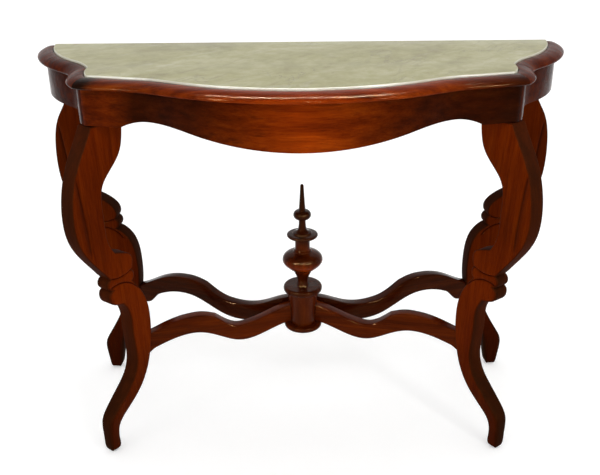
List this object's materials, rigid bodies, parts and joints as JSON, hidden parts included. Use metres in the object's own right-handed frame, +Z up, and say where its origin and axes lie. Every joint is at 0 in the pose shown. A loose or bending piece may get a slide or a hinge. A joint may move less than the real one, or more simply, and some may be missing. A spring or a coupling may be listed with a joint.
{
  "type": "pier table",
  "caption": "Wall-standing pier table: serpentine marble slab in a moulded rim, shaped aprons, scrolled plank legs and wavy stretchers meeting at a hub under a turned finial",
  "frame": {"origin": "Bottom centre of the bounding box: on the floor, midway along the table and midway between its wall line and the front of its rim.", "axes": "+X to the right along the wall seen from the front, +Y towards the wall, +Z up. The front is -Y."},
  "size_m": [1.205, 0.472, 0.85],
  "materials": {
    "marble": "polished cream marble with faint grey-brown veins",
    "varnished_wood": "dark red-brown hardwood under high-gloss varnish",
    "turned_wood": "darker turned hardwood under high-gloss varnish",
    "secondary_wood": "plain unvarnished softwood",
    "dowel_wood": "raw beech",
    "screw_steel": "dull steel"
  },
  "bodies": {
    "table": {"apron_front": "varnished_wood", "apron_left": "varnished_wood", "apron_right": "varnished_wood", "back_rail": "secondary_wood", "bearer_left": "secondary_wood", "bearer_right": "secondary_wood", "bearer_screws": "screw_steel", "corner_block_front_left": "secondary_wood", "corner_block_front_right": "secondary_wood", "corner_block_rear_left": "secondary_wood", "corner_block_rear_right": "secondary_wood", "corner_block_screws": "screw_steel", "finial": "turned_wood", "hub": "turned_wood", "hub_base_ring": "turned_wood", "hub_cap": "turned_wood", "leg_dowels": "dowel_wood", "leg_front_left": "varnished_wood", "leg_front_right": "varnished_wood", "leg_rear_left": "varnished_wood", "leg_rear_right": "varnished_wood", "rim_front": "varnished_wood", "rim_left": "varnished_wood", "rim_right": "varnished_wood", "stretcher_dowels": "dowel_wood", "stretcher_front_left": "varnished_wood", "stretcher_front_right": "varnished_wood", "stretcher_rear_left": "varnished_wood", "stretcher_rear_right": "varnished_wood"},
    "slab": {"marble_top": "marble"}
  },
  "joints": [
    {"name": "marble_lift", "type": "slide", "parent": "table", "child": "slab", "axis": [0, 0, 1], "range_m": [0, 0.05]}
  ]
}
